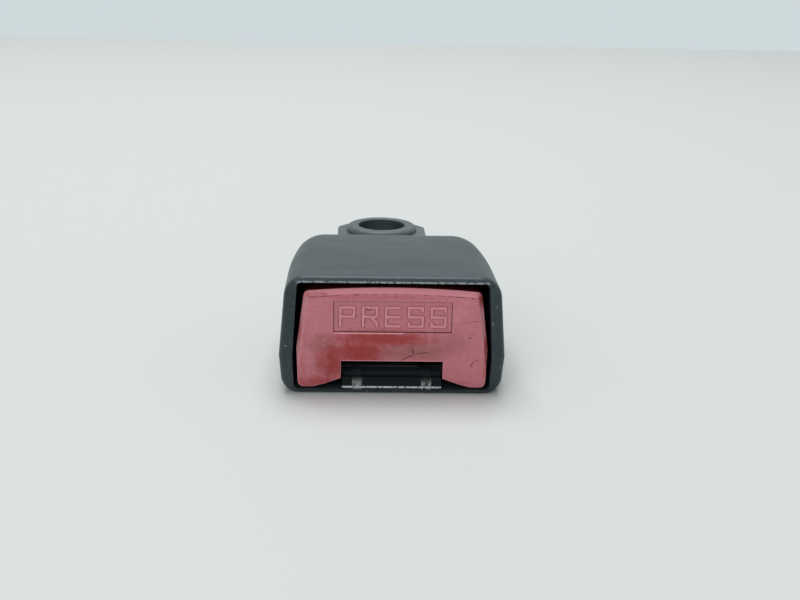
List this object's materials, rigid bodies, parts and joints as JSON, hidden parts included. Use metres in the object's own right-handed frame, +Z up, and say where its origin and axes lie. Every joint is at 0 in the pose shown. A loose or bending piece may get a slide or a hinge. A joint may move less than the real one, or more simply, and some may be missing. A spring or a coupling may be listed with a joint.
{
  "type": "seat belt buckle on anchor strap",
  "caption": "End-release seat belt buckle with a front press button and tongue slot, on a short flat steel strap that ends in a flanged ring for an anchor bolt.",
  "frame": {"origin": "centre of the anchor bolt's hole, on the lower face of its bush", "axes": "+Z up through the bolt hole, +Y from the tongue slot towards the anchor bolt, +X to the right when facing the button"},
  "size_m": [0.06, 0.165, 0.0323],
  "materials": {
    "housing_plastic": "fine grained moulded black, dusty and scuffed",
    "button_plastic": "faded red, scratched",
    "guide_plastic": "black, worn pale on its ribs and lip",
    "ejector_plastic": "black acetal",
    "coated_steel": "dark satin coating, dusty",
    "dark_steel": "phosphated and oiled",
    "zinc_steel": "zinc plated",
    "spring_steel": "oiled spring wire"
  },
  "bodies": {
    "housing": {"lower_cover": "housing_plastic", "upper_cover": "housing_plastic", "cover_screws": "zinc_steel", "frame": "dark_steel", "frame_bridge": "dark_steel", "anchor_strap": "coated_steel", "strap_rivets": "zinc_steel", "anchor_bush": "coated_steel", "tongue_guide": "guide_plastic", "pivot_pin": "zinc_steel", "pivot_clip": "spring_steel", "ejector_guide_rod": "zinc_steel", "button_spring_right": "spring_steel", "button_spring_left": "spring_steel", "latch_spring": "spring_steel", "ejector_spring": "spring_steel"},
    "button": {"release_button": "button_plastic"},
    "latch": {"latch": "dark_steel", "latch_cam_pin": "zinc_steel"},
    "ejector": {"ejector": "ejector_plastic"}
  },
  "joints": [
    {"name": "button_press", "type": "slide", "parent": "housing", "child": "button", "axis": [0, 1, 0], "range_m": [0, 0.005], "stiffness_N_per_m": 700, "springref_m": -0.006, "deforming": ["button_spring_right", "button_spring_left"]},
    {"name": "latch_lift", "type": "hinge", "parent": "housing", "child": "latch", "pos_m": [0, -0.0975, 0.01095], "axis": [-1, 0, 0], "range_deg": [0, 7.6], "stiffness_Nm_per_rad": 0.2, "springref_deg": -8.59, "deforming": ["latch_spring"]},
    {"name": "ejector_slide", "type": "slide", "parent": "housing", "child": "ejector", "axis": [0, 1, 0], "range_m": [0, 0.01], "stiffness_N_per_m": 250, "springref_m": -0.012, "deforming": ["ejector_spring"]}
  ],
  "couplings": [
    {"joint": "latch_lift", "follows": "button_press", "rad_per_m": 26.52}
  ]
}
